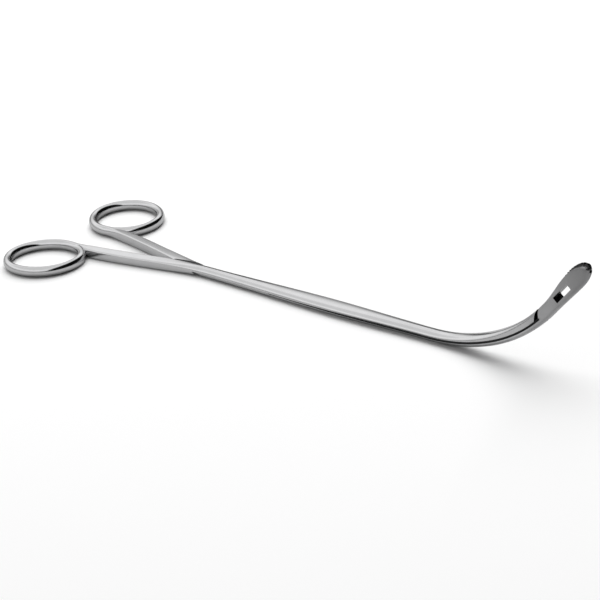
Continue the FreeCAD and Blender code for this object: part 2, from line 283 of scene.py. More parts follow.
def in_bend(run, rise, y=0.0):
    """Point at that run along the bend and the jaws, and that rise above their middle line."""
    turned = min(max(run / BEND_RADIUS, 0.0), BEND_ANGLE)
    extra = run - BEND_RADIUS * turned
    x = BEND_SETOFF + BEND_RADIUS * math.sin(turned) + extra * math.cos(turned)
    z = SHAFT_HEIGHT / 2 + BEND_RADIUS * (1 - math.cos(turned)) + extra * math.sin(turned)
    return Vector((x - rise * math.sin(turned), y, z + rise * math.cos(turned)))


print("tip", round(in_bend(TIP_RUN, 0).x, 1), "mm ahead,", round(in_bend(TIP_RUN, 0).z, 1), "mm up")


# %% Say how the bar changes along its length
def rounding_at(run):
    past = max(run - FULL_RUN, 0.0) / TIP_LENGTH
    return math.sqrt(max(1 - past * past, 0.0))


def height_at(run):
    if run < NOTCH_RUN:
        return blend(SHAFT_HEIGHT, NOTCH_HEIGHT, run / NOTCH_RUN)
    share = (run - SWELL_RUN) / (FULL_RUN - SWELL_RUN)
    return blend(NOTCH_HEIGHT, JAW_HEIGHT, share) * rounding_at(run)


def sag_at(run):
    """How far the bar's middle hangs under the middle line."""
    if run < NOTCH_RUN:
        return blend(0.0, JAW_SAG, run / NOTCH_RUN)
    return blend(JAW_SAG, 0.0, (run - SWELL_RUN) / (FULL_RUN - SWELL_RUN))


def width_at(run):
    """Width over both jaws, or of the bend."""
    start = NOTCH_RUN / 2
    width = blend(BEND_WIDTH, JAW_PAIR_WIDTH, (run - start) / (FULL_RUN - start))
    return width - TIP_THINNING * (1 - rounding_at(run))


def lap_at(run, layer, gap=LAP_GAP):
    """Rise of the lap face of the upper (+1) or lower (-1) layer above the middle line."""
    end = LOWER_LAYER_END - NOTCH_HEIGHT / 2 - JAW_SAG
    return blend(0.0, end, run / NOTCH_RUN) + layer * gap / 2


def shank_width_at(share):
    if share < SHANK_SWELL:
        return blend(RIM_WIDTH, SHANK_WIDTH, share / SHANK_SWELL)
    return blend(SHANK_WIDTH, MEET_WIDTH, (share - SHANK_SWELL) / (1 - SHANK_SWELL))


def shaft_width_at(x):
    if x < 0:
        return blend(MEET_WIDTH, PIVOT_WIDTH, 1 + x / MEET_SETBACK)
    return blend(PIVOT_WIDTH, BEND_WIDTH, x / BEND_SETOFF)


print("jaws", round(height_at(FULL_RUN), 2), "mm high,", round(width_at(FULL_RUN), 2), "mm wide together")


# %% [markdown]
# ## One bent bar
# A forged half starts as a bar. Its end is bent round into the finger ring until it touches the bar again,
# and the rest runs on as shank, shaft and jaw. A curve with a bevel could only carry one section, so a list
# of changing sections is skinned instead. The highlights then flow from the ring into the shank without a
# seam.

# %% Draw a rounded section
ARC_STEPS = 8
FLAT_STEPS = {"across": 8, "upward": 5}


def section(middle, across, upward, width, low, high, round_across, round_up, crown=0.0, lean=0.0):
    """Points of a rounded section. A rounding of half its size both ways makes it an oval.

    The crown arches the top face, and the lean tilts it across the bar."""
    centre = (low + high) / 2
    round_across = min(round_across, width / 2)
    round_up = min(round_up, (high - low) / 2)
    points = []
    corners = ((1, -1), (1, 1), (-1, 1), (-1, -1))
    for number, (out, above) in enumerate(corners):
        y = out * (width / 2 - round_across)
        z = high - round_up if above > 0 else low + round_up
        first = math.atan2(0, out) if out * above > 0 else math.atan2(above, 0)
        for step in range(ARC_STEPS + 1):
            angle = first + math.pi / 2 * step / ARC_STEPS
            points.append((y + round_across * math.cos(angle), z + round_up * math.sin(angle)))
        following = corners[(number + 1) % 4]
        next_y = following[0] * (width / 2 - round_across)
        next_z = high - round_up if following[1] > 0 else low + round_up
        end = points[-1]
        start_angle = first + math.pi / 2
        goal = (next_y + round_across * math.cos(start_angle), next_z + round_up * math.sin(start_angle))
        steps = FLAT_STEPS["upward"] if number % 2 == 0 else FLAT_STEPS["across"]
        for step in range(1, steps):
            share = step / steps
            bulge = crown * 4 * share * (1 - share) if number == 1 else 0.0
            y_here = end[0] + (goal[0] - end[0]) * share
            points.append((y_here, end[1] + (goal[1] - end[1]) * share + bulge))
    drop = abs(lean) * width / 2
    leant = [(y, z + (lean * y - drop) * max(0.0, (z - centre) / (high - centre))) for y, z in points]
    return [middle + across * y + upward * z for y, z in leant]


print("points in a section", len(section(Vector(), ACROSS, UP, RIM_WIDTH, 0.0, RIM_HEIGHT, 1.0, 1.0)))


# %% Skin a list of sections
def closed_piece(name, draft):
    """Object from a closed draft. Its faces point outwards."""
    bmesh.ops.recalc_face_normals(draft, faces=draft.faces)
    if draft.calc_volume(signed=True) < 0:
        bmesh.ops.reverse_faces(draft, faces=draft.faces)
    mesh = bpy.data.meshes.new(name)
    draft.to_mesh(mesh)
    draft.free()
    return put_in_scene(name, mesh)


def skin(name, rings):
    """Closed mesh object through rings of as many points each, given in millimetres."""
    draft = bmesh.new()
    rows = [[draft.verts.new(point * MM) for point in ring] for ring in rings]
    around = [(here, (here + 1) % len(rows[0])) for here in range(len(rows[0]))]
    for row, next_row in zip(rows, rows[1:]):
        for here, beyond in around:
            draft.faces.new((row[here], row[beyond], next_row[beyond], next_row[here]))
    for row in (rows[0], rows[-1]):
        centre = draft.verts.new(sum((vert.co for vert in row), Vector()) / len(row))
        for here, beyond in around:
            draft.faces.new((row[here], row[beyond], centre))
    return closed_piece(name, draft)


# %% [markdown]
# ## Path of a half
# Side +1 is the half whose ring lies on +Y. The loop runs round the ring from inside the shank, leaves it
# along the shank's first direction, and a Bezier curve takes the shank to the shaft's axis. The loop's start
# is a little thinner than the bar, so that it stays hidden inside the shank that it closes on.

# %% Lay out the ring and the shank
POLISHED_OFF = 0.01
LONG = HOLE_LENGTH / 2 + RIM_WIDTH / 2 - POLISHED_OFF
SHORT = HOLE_WIDTH / 2 + RIM_WIDTH / 2 - POLISHED_OFF
SMALL_TURN, SMALL_SHARE = 0.01, 0.002


def ring_point(side, angle):
    along = Vector((math.cos(RING_TILT), -math.sin(RING_TILT), 0))
    outwards = Vector((math.sin(RING_TILT), math.cos(RING_TILT), 0))
    point = Vector((-RING_SETBACK, RING_OFFSET, 0))
    point += along * (LONG * math.cos(angle)) + outwards * (SHORT * math.sin(angle))
    return Vector((point.x, side * point.y, 0))


def bezier(poles, share):
    while len(poles) > 1:
        poles = [first.lerp(second, share) for first, second in zip(poles, poles[1:])]
    return poles[0]


def shank_poles(side):
    foot = ring_point(side, LOOP_END)
    heading = (foot - ring_point(side, LOOP_END - SMALL_TURN)).normalized()
    meet = Vector((-MEET_SETBACK, 0, 0))
    return [foot, foot + heading * SHANK_LEAD, meet - Vector((MEET_LEAD, 0, 0)), meet]


def heading_of(curve, share):
    before, after = max(share - SMALL_SHARE, 0.0), min(share + SMALL_SHARE, 1.0)
    return (curve(after) - curve(before)).normalized()


print("shank leaves the ring", round(-shank_poles(1)[0].x, 1), "mm behind the joint")

# %% [markdown]
# ## Sections of a half
# The ring is an oval wire. The shank turns it into a bar with small edges, whose upper facet leans outwards
# and catches the light. The shaft and the bend have softly rounded edges and a slightly arched top, and the
# jaws end in a blunt round tip. The sections stand closer together there.

# %% List the ring's and the shank's sections
LOOP_STEPS, SHANK_STEPS, SHAFT_STEPS, BEND_STEPS = 96, 48, 60, 80
HIDDEN_SINK, HIDDEN_SHARE = 0.03, 0.05
SHANK_ROUNDING, SHANK_CROWN, SQUARE_FROM = 0.5, 0.02, 0.22
SIDE_ROUNDING, TOP_ROUNDING, TOP_CROWN, ROUNDER_FROM = 1.5, 1.5, 0.12, 0.6
SHANK_LEAN, LEAN_FROM = math.tan(math.radians(6)), 0.12
LEAN_UNTIL, LEAN_FADE = 0.5, 0.45


def loop_sections(side):
    rings = []
    for step in range(LOOP_STEPS):
        share = step / LOOP_STEPS
        angle = LOOP_START + (LOOP_END - LOOP_START) * share
        ahead = ring_point(side, angle + SMALL_TURN) - ring_point(side, angle - SMALL_TURN)
        sunk = blend(HIDDEN_SINK, 0.0, share / HIDDEN_SHARE)
        width = RIM_WIDTH * (1 - sunk)
        low, high = RIM_HEIGHT * sunk, RIM_HEIGHT * (1 - sunk)
        rings.append(section(
            ring_point(side, angle), ahead.normalized().cross(UP), UP, width, low, high,
            width / 2, (high - low) / 2,
        ))
    return rings


def shank_sections(side):
    poles = shank_poles(side)
    rings = []
    for step in range(SHANK_STEPS):
        share = step / SHANK_STEPS
        across = heading_of(lambda at: bezier(poles, at), share).cross(UP)
        width = shank_width_at(share)
        high = blend(RIM_HEIGHT, SHAFT_HEIGHT, share)
        squared, rounder = share / SQUARE_FROM, (share - ROUNDER_FROM) / (1 - ROUNDER_FROM)
        round_across = blend(width / 2, blend(SHANK_ROUNDING, SIDE_ROUNDING, rounder), squared)
        round_up = blend(high / 2, blend(SHANK_ROUNDING, TOP_ROUNDING, rounder), squared)
        crown = blend(0.0, blend(SHANK_CROWN, TOP_CROWN, rounder), squared)
        fade = blend(1.0, 0.0, (share - LEAN_UNTIL) / LEAN_FADE)
        lean = side * SHANK_LEAN * blend(0.0, 1.0, share / LEAN_FROM) * fade
        rings.append(section(
            bezier(poles, share), across, UP, width, 0.0, high, round_across, round_up, crown, lean,
        ))
    return rings


print("sections", len(loop_sections(1)), "round a ring,", len(shank_sections(1)), "along a shank")

# %% List the shaft's, the bend's and the jaw's sections
NOSE_LENGTH, NOSE_WIDTH = 1.9, 1.0
TIP_DEGREES = range(6, 88, 6)


def shaft_sections():
    rings = []
    for step in range(SHAFT_STEPS):
        x = -MEET_SETBACK + (MEET_SETBACK + BEND_SETOFF) * step / SHAFT_STEPS
        rings.append(section(
            Vector((x, 0, 0)), ACROSS, UP, shaft_width_at(x), 0.0, SHAFT_HEIGHT,
            SIDE_ROUNDING, TOP_ROUNDING, TOP_CROWN,
        ))
    return rings


def jaw_sections():
    runs = [FULL_RUN * step / BEND_STEPS for step in range(BEND_STEPS + 1)]
    runs += [FULL_RUN + TIP_LENGTH * math.sin(math.radians(turned)) for turned in TIP_DEGREES]
    rings = []
    for run in runs:
        middle = in_bend(run, 0)
        low = -sag_at(run) - height_at(run) / 2
        round_across = blend(SIDE_ROUNDING, JAW_ROUNDING, run / SWELL_RUN)
        round_up = blend(TOP_ROUNDING, JAW_ROUNDING, run / SWELL_RUN)
        crown = blend(TOP_CROWN, 0.0, run / NOTCH_RUN)
        upward = in_bend(run, 1) - middle
        in_nose = min(max((run - TIP_RUN) / NOSE_LENGTH + 1, 0.0), 1.0)
        width = NOSE_WIDTH + (width_at(run) - NOSE_WIDTH) * math.sqrt(1 - in_nose * in_nose)
        rings.append(section(
            middle, ACROSS, upward, width, low, low + height_at(run), round_across, round_up, crown,
        ))
    return rings


def bar_sections(side):
    """Sections from the hidden start of the loop to the jaw's tip."""
    return loop_sections(side) + shank_sections(side) + shaft_sections() + jaw_sections()


print("sections of a half", len(bar_sections(1)))


# %% [markdown]
# ## Room for the other half
# Where the halves cross, each keeps only its own layer, and in the jaws only its own side. Each layer could
# be swept on its own, but then the edges at the crossing would have to be modelled too. So the material that
# goes is described as closed solids, and the Boolean modifier takes them away. Its Exact solver with Self
# Intersection also joins the loop's start to the shank that it closes on.

# %% Make the solids that part the layers
CROSSING_FROM, CROSSING_STEPS, LAP_STEPS = 0.2, 30, 48
OUT_OF_THE_WAY = 3 * CLEAR


def side_prism(name, outline, start=-CLEAR, end=CLEAR):
    """Closed prism over an outline in the XZ plane, across the forceps from one Y to another."""
    draft = bmesh.new()
    near = [draft.verts.new((point - ACROSS * start) * MM) for point in outline]
    far = [draft.verts.new((point - ACROSS * end) * MM) for point in outline]
    draft.faces.new(near)
    draft.faces.new(far)
    for first in range(len(outline)):
        second = (first + 1) % len(outline)
        draft.faces.new((near[first], near[second], far[second], far[first]))
    return closed_piece(name, draft)


def crossing_room(side, layer):
    """Room for the other half's shank, on that side and in the upper or lower layer."""
    poles = shank_poles(side)
    face = SHAFT_HEIGHT / 2 - layer * LAP_GAP / 2
    low, high = sorted((face, face + layer * CLEAR))
    rings = []
    for step in range(CROSSING_STEPS + 1):
        share = CROSSING_FROM + (1 - CROSSING_FROM) * step / CROSSING_STEPS
        across = heading_of(lambda at: bezier(poles, at), share).cross(UP)
        half = shank_width_at(share) / 2 + SHANK_CLEARANCE
        middle = bezier(poles, share)
        corners = ((half, low), (half, high), (-half, high), (-half, low))
        rings.append([middle + across * y + UP * z for y, z in corners])
    return skin("crossing_room", rings)


def layer_room(layer):
    """Room for the other half's upper (+1) or lower (-1) layer, as far as this half's jaw.

    Its back wall leans, so that the layer behind it ends in a slope."""
    end = NOTCH_RUN + NOTCH_WIDTH
    runs = [end * step / LAP_STEPS for step in range(LAP_STEPS + 1)]
    lap = [in_bend(run, lap_at(run, -layer)) for run in runs]
    ahead = (in_bend(end + 0.1, 0) - in_bend(end - 0.1, 0)).normalized()
    lift = in_bend(end, 1) - in_bend(end, 0)
    shoulder = lap[-1] + lift * (layer * CLEAR) + ahead * (CLEAR * SHOULDER_LEAN)
    back = Vector((-MEET_SETBACK - LAYER_LEAD, 0, lap[0].z))
    foot_of_back = Vector((back.x + LAYER_LEAD / 2, 0, back.z + layer * LAYER_HEIGHT))
    outer = back.z + layer * OUT_OF_THE_WAY
    over = [Vector((shoulder.x, 0, outer)), Vector((foot_of_back.x, 0, outer))]
    return side_prism("layer_room", lap + [shoulder, *over, foot_of_back, back])


print("layers part", MEET_SETBACK + LAYER_LEAD, "mm behind the joint")


# %% [markdown]
# ## Teeth with Geometry Nodes
# The serrated jaws repeat one tooth at an even pitch. An Array modifier could repeat a modelled tooth, but
# its ends would have to be trimmed by hand. A small tree lays a grid with four rows to a tooth along the jaw
# instead, moves the rows sideways in a zigzag, and thickens the sheet into a solid that is cut from a jaw.
# The pitch, the height and the number of teeth are its inputs.

# %% Build the tooth tree
ROWS_IN_TOOTH = 4.0
MERGE_DISTANCE = 1e-6


def tooth_tree():
    tree = bpy.data.node_groups.new("tooth_cutter", "GeometryNodeTree")
    made = {}
    kinds = {
        "Teeth": "Int", "Pitch": "Float", "Height": "Float", "Reach": "Float", "Depth": "Float",
        "Material": "Material",
    }
    for name, kind in kinds.items():
        socket = tree.interface.new_socket(name, in_out="INPUT", socket_type=f"NodeSocket{kind}")
        made[name] = socket.identifier
    tree.interface.new_socket("Geometry", in_out="OUTPUT", socket_type="NodeSocketGeometry")
    given = tree.nodes.new("NodeGroupInput").outputs
    rows = maths(tree, "MULTIPLY_ADD", given["Teeth"], ROWS_IN_TOOTH, 1.0)
    length = maths(tree, "MULTIPLY", given["Teeth"], given["Pitch"])
    grid = add_node(tree, "GeometryNodeMeshGrid", {
        "Size X": length, "Size Y": given["Reach"], "Vertices X": rows, "Vertices Y": 2,
    })
    place = add_node(tree, "GeometryNodeInputPosition")
    along = add_node(tree, "ShaderNodeSeparateXYZ", {"Vector": place.outputs[0]}).outputs["X"]
    from_start = maths(tree, "ADD", along, maths(tree, "MULTIPLY", length, 0.5))
    shifted = maths(tree, "ADD", from_start, maths(tree, "MULTIPLY", given["Pitch"], 0.25))
    half_pitch = maths(tree, "MULTIPLY", given["Pitch"], 0.5)
    share = maths(tree, "DIVIDE", maths(tree, "PINGPONG", shifted, half_pitch), half_pitch)
    rise = maths(tree, "MULTIPLY", maths(tree, "SUBTRACT", share, 0.5), given["Height"])
    offset = add_node(tree, "ShaderNodeCombineXYZ", {"Z": rise})
    moved = add_node(tree, "GeometryNodeSetPosition", {
        "Geometry": grid.outputs["Mesh"], "Offset": offset.outputs[0],
    })
    thick = add_node(tree, "ShaderNodeCombineXYZ", {"Z": given["Depth"]})
    grown = add_node(tree, "GeometryNodeExtrudeMesh", {
        "Mesh": moved.outputs[0], "Offset": thick.outputs[0], "Offset Scale": 1.0, "Individual": False,
    })
    back = add_node(tree, "GeometryNodeFlipFaces", {"Mesh": moved.outputs[0]})
    joined = tree.nodes.new("GeometryNodeJoinGeometry")
    tree.links.new(grown.outputs["Mesh"], joined.inputs[0])
    tree.links.new(back.outputs[0], joined.inputs[0])
    closed = add_node(tree, "GeometryNodeMergeByDistance", {
        "Geometry": joined.outputs[0], "Distance": MERGE_DISTANCE,
    })
    real = add_node(tree, "GeometryNodeRealizeInstances", {"Geometry": closed.outputs[0]})
    named = add_node(tree, "GeometryNodeSetMaterial", {
        "Geometry": real.outputs[0], "Material": given["Material"],
    })
    add_node(tree, "NodeGroupOutput", {"Geometry": named.outputs[0]})
    return tree, made


TOOTH_TREE, TOOTH_INPUTS = tooth_tree()
print("tooth tree of", len(TOOTH_TREE.nodes), "nodes")

# %% [markdown]
# ## Jaws
# The halves part in the middle of the jaws: toothed beside the window and to the tip, plain behind it. Each
# jaw keeps the side that faces away from the other one. The rectangular window goes through both jaws. Both
# jaws could be modelled apart, but cuts from one bar keep their outlines in step.

# %% Make the solids that part the jaws
EXTRA_TEETH = 3
AHEAD = in_bend(BEND_RUN + 1, 0) - in_bend(BEND_RUN, 0)
LIFT = in_bend(BEND_RUN, 1) - in_bend(BEND_RUN, 0)


def bake(piece):
    """Turns a piece with modifiers into a plain mesh."""
    bpy.context.view_layer.update()
    ready = piece.evaluated_get(bpy.context.evaluated_depsgraph_get())
    mesh = bpy.data.meshes.new_from_object(ready)
    piece.modifiers.clear()
    piece.data = mesh
    return piece


def grow(piece, tree, inputs, values):
    """Runs a Geometry Nodes tree on a piece, with values for its named inputs."""
    modifier = piece.modifiers.new(tree.name, "NODES")
    modifier.node_group = tree
    for name, value in values.items():
        modifier[inputs[name]] = value
    return bake(piece)


def toothed_room(side, metal):
    """Room for the other half's jaw on that side, along the serrated part of the jaws."""
    made = put_in_scene("toothed_room", bpy.data.meshes.new("toothed_room"))
    teeth = int((TIP_RUN - WINDOW_RUN) / TOOTH_PITCH) + EXTRA_TEETH
    grow(made, TOOTH_TREE, TOOTH_INPUTS, {
        "Teeth": teeth, "Pitch": TOOTH_PITCH * MM, "Height": side * TOOTH_HEIGHT * MM,
        "Reach": CLEAR * MM, "Depth": CLEAR * MM, "Material": metal,
    })
    middle = in_bend(WINDOW_RUN, 0) + AHEAD * (teeth * TOOTH_PITCH / 2) + ACROSS * (side * LAP_GAP / 2)
    turn = Matrix((AHEAD, LIFT * -side, ACROSS * -side)).transposed()
    made.data.transform(Matrix.Translation(middle * MM) @ turn.to_4x4())
    return made


def plain_room(side, layer):
    """Room for the other half's jaw on that side, from this half's own layer to the teeth."""
    foot = in_bend(NOTCH_RUN, lap_at(NOTCH_RUN, layer))
    start_of_teeth = in_bend(WINDOW_RUN, 0)
    distance = (start_of_teeth - foot).dot(AHEAD)
    end = foot + AHEAD * distance + LIFT * (layer * distance / END_LEAN)
    down = LIFT * (-layer * CLEAR)
    outline = [foot, end, start_of_teeth + down, foot + down]
    return side_prism("plain_room", outline, -side * LAP_GAP / 2, side * CLEAR)


def window_room(end_shadow_metal, long_metal):
    """Room for the window, with one metal on its two end walls, given near black as their painted shadow, and
    one on its two long walls.
    """
    low = -WINDOW_DROP - WINDOW_HEIGHT / 2
    start, lift = in_bend(WINDOW_RUN, low), LIFT * (WINDOW_HEIGHT + WINDOW_RELIEF)
    end = start + AHEAD * WINDOW_LENGTH
    made = side_prism("window_room", [start, end, end + lift, start + lift])
    made.data.materials.append(end_shadow_metal)
    made.data.materials.append(long_metal)
    for wall in made.data.polygons:
        wall.material_index = int(abs(wall.normal.dot(LIFT)) > 0.5)
    return made


print("teeth start", round(TIP_RUN - WINDOW_RUN, 1), "mm behind the tip")

# %% [markdown]
# ## Broken edges
# Where two flat layers lie on each other, the edges along the joint are broken with a file. They leave a fine
# groove whose faces are painted near black as the shade inside it, which makes the two layers readable from a
# distance. The groove follows the layers, so it is skinned from wedges as the bar is from sections.

# %% Make the groove along the lap
GROOVE, FINE_GROOVE, GROOVE_START, GROOVE_GROWTH = 0.42, 0.06, -24, 50
GROOVE_ACROSS, GROOVE_UP, GROOVE_OVERLAP = 0.9, 0.85, 0.1
GROOVE_END, GROOVE_STEPS = 1.06, 40


def lap_groove(out, layer):
    """Wedge off the edge of the upper (+1) or lower (-1) layer, on the ACROSS (+1) or other side."""

    def wedge(middle, upward, width, lap, size):
        edge = out * width / 2
        depth = out * GROOVE_ACROSS * size
        inside = lap - layer * GROOVE_OVERLAP
        outside = lap + layer * GROOVE_UP * size
        inner, outer = edge - depth, edge + depth
        corners = ((inner, inside), (inner, lap), (outer, outside), (outer, inside))
        return [middle + ACROSS * y + upward * z for y, z in corners]

    rings = []
    for step in range(GROOVE_STEPS):
        x = GROOVE_START + (BEND_SETOFF - GROOVE_START) * step / GROOVE_STEPS
        size = blend(FINE_GROOVE, GROOVE, (x - GROOVE_START) / GROOVE_GROWTH)
        middle = Vector((x, 0, SHAFT_HEIGHT / 2))
        rings.append(wedge(middle, UP, shaft_width_at(x), layer * LAP_GAP / 2, size))
    for step in range(GROOVE_STEPS + 1):
        run = NOTCH_RUN * GROOVE_END * step / GROOVE_STEPS
        middle = in_bend(run, 0)
        rings.append(wedge(middle, in_bend(run, 1) - middle, width_at(run), lap_at(run, layer), GROOVE))
    return skin("lap_groove", rings)


print("groove", GROOVE, "mm deep at the bend")

# %% [markdown]
# ## Rims of the jaws
# From above the window round the tip, the near jaw's rim is filed a little lower and polished. The far jaw's
# rim stays behind it as a dark line, painted near black as the shade in the gap, and the teeth end on it in a
# row of small notches, painted dark the same way. The first is a strip cut along the rim. The notches repeat at
# an even pitch along the same path, so a second tree resamples the path as a curve and sets a V-shaped cutter
# on every point.

# %% Make the strip off the rim
RIM_LEAD, RIM_STEPS, RIM_DEGREES, RIM_UNDER = 1, 12, range(8, 89, 8), 5
RIM_FAINT = 0.2
STRIP_INSIDE, STRIP_OUTSIDE, STRIP_TOP = -0.4, 2.6, 0.6


def rim_path():
    """Points of the jaws' upper rim, from above the window's start round the tip."""
    length = FULL_RUN - WINDOW_RUN - RIM_LEAD
    runs = [WINDOW_RUN + RIM_LEAD + length * step / RIM_STEPS for step in range(RIM_STEPS + 1)]
    runs += [FULL_RUN + TIP_LENGTH * math.sin(math.radians(turned)) for turned in RIM_DEGREES]
    upper = [in_bend(run, height_at(run) / 2 - sag_at(run)) for run in runs]
    lower = [in_bend(run, -height_at(run) / 2 - sag_at(run)) for run in reversed(runs[-RIM_UNDER:])]
    return upper + lower


def rim_strip(side, deepest, metal):
    """Strip off a jaw's whole rim. It starts shallow above the window and is that deep at the tip."""
    points = rim_path()
    tip = len(points) - RIM_UNDER - 1
    own = Vector((0, -side, 0))
    rings = []
    for number, point in enumerate(points):
        along = (points[min(number + 1, len(points) - 1)] - points[max(number - 1, 0)]).normalized()
        outwards = along.cross(Vector((0, 1, 0)))
        growth, fade = blend(RIM_FAINT, 1.0, number / tip), blend(1.0, RIM_FAINT, (number - tip) / RIM_UNDER)
        depth = deepest * growth * fade
        corners = (
            (STRIP_INSIDE, -depth), (STRIP_OUTSIDE, -depth),
            (STRIP_OUTSIDE, STRIP_TOP), (STRIP_INSIDE, STRIP_TOP),
        )
        rings.append([point + own * y + outwards * rise for y, rise in corners])
    made = skin("rim_strip", rings)
    made.data.materials.append(metal)
    return made


print("rim path of", len(rim_path()), "points")

# %% Build the notch tree
RIM_NOTCH_EDGE = 0.62


def notch_tree():
    """Tree that sets a V-shaped cutter at an even spacing along a path in the XZ plane."""
    tree = bpy.data.node_groups.new("rim_notch_cutter", "GeometryNodeTree")
    made = {}
    tree.interface.new_socket("Path", in_out="INPUT", socket_type="NodeSocketGeometry")
    for name, kind in {"Spacing": "Float", "Edge": "Float", "Width": "Float", "Material": "Material"}.items():
        socket = tree.interface.new_socket(name, in_out="INPUT", socket_type=f"NodeSocket{kind}")
        made[name] = socket.identifier
    tree.interface.new_socket("Geometry", in_out="OUTPUT", socket_type="NodeSocketGeometry")
    given = tree.nodes.new("NodeGroupInput").outputs
    curve = add_node(tree, "GeometryNodeMeshToCurve", {"Mesh": given["Path"]})
    even = add_node(tree, "GeometryNodeResampleCurve", {
        "Curve": curve.outputs[0], "Length": given["Spacing"],
    }, mode="LENGTH")
    tangent = tree.nodes.new("GeometryNodeInputTangent")
    size = add_node(tree, "ShaderNodeCombineXYZ", {
        "X": given["Edge"], "Y": given["Width"], "Z": given["Edge"],
    })
    block = add_node(tree, "GeometryNodeMeshCube", {"Size": size.outputs[0]})
    on_edge = add_node(tree, "GeometryNodeTransform", {
        "Geometry": block.outputs["Mesh"], "Rotation": (0, math.radians(45), 0),
    })
    turn = add_node(tree, "FunctionNodeAlignRotationToVector", {
        "Vector": tangent.outputs[0],
    }, axis="X", pivot_axis="Y")
    placed = add_node(tree, "GeometryNodeInstanceOnPoints", {
        "Points": even.outputs[0], "Instance": on_edge.outputs[0], "Rotation": turn.outputs[0],
    })
    real = add_node(tree, "GeometryNodeRealizeInstances", {"Geometry": placed.outputs[0]})
    named = add_node(tree, "GeometryNodeSetMaterial", {
        "Geometry": real.outputs[0], "Material": given["Material"],
    })
    add_node(tree, "NodeGroupOutput", {"Geometry": named.outputs[0]})
    return tree, made


RIM_NOTCH_TREE, RIM_NOTCH_INPUTS = notch_tree()
print("notch tree of", len(RIM_NOTCH_TREE.nodes), "nodes")


# %% Make the notches in the rim
def rim_notches(metal):
    points = rim_path()
    mesh = bpy.data.meshes.new("rim_notches")
    edges = [(first, first + 1) for first in range(len(points) - 1)]
    mesh.from_pydata([point * MM for point in points], edges, [])
    return grow(put_in_scene("rim_notches", mesh), RIM_NOTCH_TREE, RIM_NOTCH_INPUTS, {
        "Spacing": TOOTH_PITCH * MM, "Edge": RIM_NOTCH_EDGE * MM, "Width": 2 * JAW_PAIR_WIDTH * MM,
        "Material": metal,
    })


# %% [markdown]
# ## Steel
# The rings, the shanks and the shaft are polished along their length. The jaws turn satin, so that they don't
# dazzle the surgeon, and painted shade darkens their colour towards the tip. Where the layers only meet each
# other the steel is left rough, because no polishing wheel reaches them, and its colour is painted darker as
# the shade between the layers. The teeth, the window's ends, the far rim and the other gaps are painted darker
# still, as the shade inside them.
# All are one metal with another roughness and brightness, so one function mixes them. An image of scratches
# would show its repeats, so noise that is stretched along X draws the polish.

# %% Mix the steels
SATIN_START, SATIN_FULL, TIP_END, PAINTED_TIP_SHADE = 0.074, 0.084, 0.100, 0.35
SCRATCH_SCALE, CLOUD_SCALE, GRAIN_SCALE = (150.0, 4000.0, 4000.0), 220.0, 5200.0
SCRATCH_DETAIL, CLOUD_DETAIL = 3.0, 2.0
CLOUD_SPREAD, ROUGHNESS_SPREAD, BLUE_CAST = 0.12, 0.08, 1.01
SCRATCH_RELIEF, BUMP_STRENGTH, BUMP_DEPTH = 0.6, 0.12, 0.00002


def share_along(tree, along, start, end):
    """Smooth share from 0 to 1 between two places on X."""
    made = add_node(tree, "ShaderNodeMapRange", {
        "Value": along, "From Min": start, "From Max": end,
    }, interpolation_type="SMOOTHSTEP")
    return made.outputs["Result"]


def noise(tree, vector, scale, detail):
    made = add_node(tree, "ShaderNodeTexNoise", {"Vector": vector, "Scale": scale, "Detail": detail})
    return made.outputs["Fac"]


def steel(name, level, roughness, satin_level=None, satin_roughness=None):
    """Steel polished along X, which may turn satin towards the jaws, with painted shade that darkens it towards
    the tip.
    """
    if satin_level is None:
        satin_level, satin_roughness = level, roughness
    made = bpy.data.materials.new(name)
    made.use_nodes = True
    tree = made.node_tree
    shader = tree.nodes["Principled BSDF"]
    shader.inputs["Metallic"].default_value = 1.0
    place = add_node(tree, "ShaderNodeTexCoord").outputs["Object"]
    lines = add_node(tree, "ShaderNodeMapping", {"Vector": place, "Scale": SCRATCH_SCALE})
    scratches = noise(tree, lines.outputs[0], 1.0, SCRATCH_DETAIL)
    clouds = noise(tree, place, CLOUD_SCALE, CLOUD_DETAIL)
    grain = noise(tree, place, GRAIN_SCALE, CLOUD_DETAIL)
    along = add_node(tree, "ShaderNodeSeparateXYZ", {"Vector": place}).outputs["X"]
    satin = share_along(tree, along, SATIN_START, SATIN_FULL)
    tip_shade_share = share_along(tree, along, SATIN_FULL, TIP_END)
    steady = maths(tree, "MULTIPLY_ADD", satin, satin_level - level, level)
    # Painted shade: the colour darkens towards the jaws' tip.
    brightness = maths(tree, "MULTIPLY", steady, maths(tree, "MULTIPLY_ADD", tip_shade_share, -PAINTED_TIP_SHADE, 1.0))
    cloudiness = maths(tree, "MULTIPLY_ADD", clouds, CLOUD_SPREAD, 1 - CLOUD_SPREAD / 2)
    varied = maths(tree, "MULTIPLY", brightness, cloudiness)
    color = add_node(tree, "ShaderNodeCombineColor", {
        "Red": varied, "Green": varied, "Blue": maths(tree, "MULTIPLY", varied, BLUE_CAST),
    })
    tree.links.new(color.outputs[0], shader.inputs["Base Color"])
    dull = maths(tree, "MULTIPLY_ADD", satin, satin_roughness - roughness, roughness)
    finest = maths(tree, "SUBTRACT", dull, ROUGHNESS_SPREAD / 2)
    spread = maths(tree, "MULTIPLY_ADD", scratches, ROUGHNESS_SPREAD, finest)
    tree.links.new(spread, shader.inputs["Roughness"])
    drawn, ground = maths(tree, "MULTIPLY", scratches, SCRATCH_RELIEF), maths(tree, "MULTIPLY", grain, satin)
    bump = add_node(tree, "ShaderNodeBump", {
        "Height": maths(tree, "ADD", drawn, ground), "Strength": BUMP_STRENGTH, "Distance": BUMP_DEPTH,
    })
    tree.links.new(bump.outputs[0], shader.inputs["Normal"])
    return made


polished_steel = steel("polished_steel", 0.74, 0.15, satin_level=0.55, satin_roughness=0.34)
